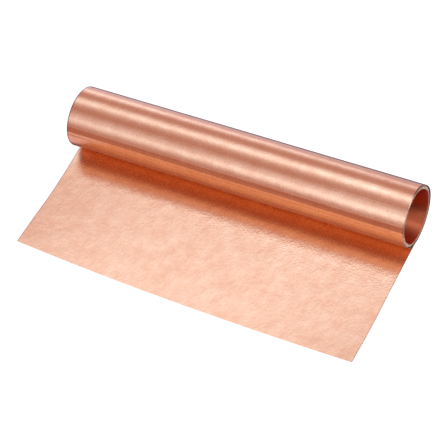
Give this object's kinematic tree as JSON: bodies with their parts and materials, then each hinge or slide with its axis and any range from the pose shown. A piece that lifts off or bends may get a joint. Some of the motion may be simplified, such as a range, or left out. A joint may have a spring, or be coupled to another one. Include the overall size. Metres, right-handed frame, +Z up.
{
  "type": "copper foil roll",
  "caption": "Wide roll of thin bare copper foil wound on itself without a core, with its free end pulled out flat.",
  "frame": {"origin": "middle of the bore, on the coil's axis; the table is 17.14 mm below it", "axes": "+X along the bore and the strip's width, +Y away from the free end, +Z up from the table"},
  "size_m": [0.2, 0.0992, 0.0344],
  "materials": {
    "copper_foil": "soft rolled sheen, bare copper",
    "copper_bore": "soft rolled sheen, bare copper"
  },
  "bodies": {
    "tail": {"tail_panel": "copper_foil"},
    "free_end_1": {"free_end_1": "copper_foil"},
    "free_end_2": {"free_end_2": "copper_foil"},
    "free_end_3": {"free_end_3": "copper_foil"},
    "free_end_4": {"free_end_4": "copper_foil"},
    "free_end_5": {"free_end_5": "copper_foil"},
    "free_end_6": {"free_end_6": "copper_foil"},
    "outer_turn": {"payout_strip": "copper_foil", "outer_turn": "copper_foil"},
    "coil": {"coil_turn_1": "copper_bore", "coil_turn_2": "copper_bore", "coil_turn_3": "copper_bore", "coil_turn_4": "copper_bore", "coil_turn_5": "copper_bore", "coil_turn_6": "copper_bore", "coil_turn_7": "copper_bore", "coil_turn_8": "copper_bore"}
  },
  "joints": [
    {"name": "roll_travel", "type": "slide", "parent": "tail", "child": "outer_turn", "axis": [0, 1, 0], "range_m": [0, 0.048]},
    {"name": "coil_rotation", "type": "hinge", "parent": "outer_turn", "child": "coil", "pos_m": [0, 0, 0], "axis": [-1, 0, 0], "range_deg": [0, 165]},
    {"name": "free_end_bend_1", "type": "hinge", "parent": "tail", "child": "free_end_1", "pos_m": [0, -0.055, -0.01692], "axis": [-1, 0, 0], "range_deg": [0, 15]},
    {"name": "free_end_bend_2", "type": "hinge", "parent": "free_end_1", "child": "free_end_2", "pos_m": [0, -0.0595, -0.01692], "axis": [-1, 0, 0], "range_deg": [0, 15]},
    {"name": "free_end_bend_3", "type": "hinge", "parent": "free_end_2", "child": "free_end_3", "pos_m": [0, -0.064, -0.01692], "axis": [-1, 0, 0], "range_deg": [0, 15]},
    {"name": "free_end_bend_4", "type": "hinge", "parent": "free_end_3", "child": "free_end_4", "pos_m": [0, -0.0685, -0.01692], "axis": [-1, 0, 0], "range_deg": [0, 15]},
    {"name": "free_end_bend_5", "type": "hinge", "parent": "free_end_4", "child": "free_end_5", "pos_m": [0, -0.073, -0.01692], "axis": [-1, 0, 0], "range_deg": [0, 15]},
    {"name": "free_end_bend_6", "type": "hinge", "parent": "free_end_5", "child": "free_end_6", "pos_m": [0, -0.0775, -0.01692], "axis": [-1, 0, 0], "range_deg": [0, 15]}
  ],
  "couplings": [
    {"joint": "coil_rotation", "follows": "roll_travel", "rad_per_m": 58.309},
    {"joint": "free_end_bend_2", "follows": "free_end_bend_1", "ratio": 1},
    {"joint": "free_end_bend_3", "follows": "free_end_bend_1", "ratio": 1},
    {"joint": "free_end_bend_4", "follows": "free_end_bend_1", "ratio": 1},
    {"joint": "free_end_bend_5", "follows": "free_end_bend_1", "ratio": 1},
    {"joint": "free_end_bend_6", "follows": "free_end_bend_1", "ratio": 1}
  ]
}
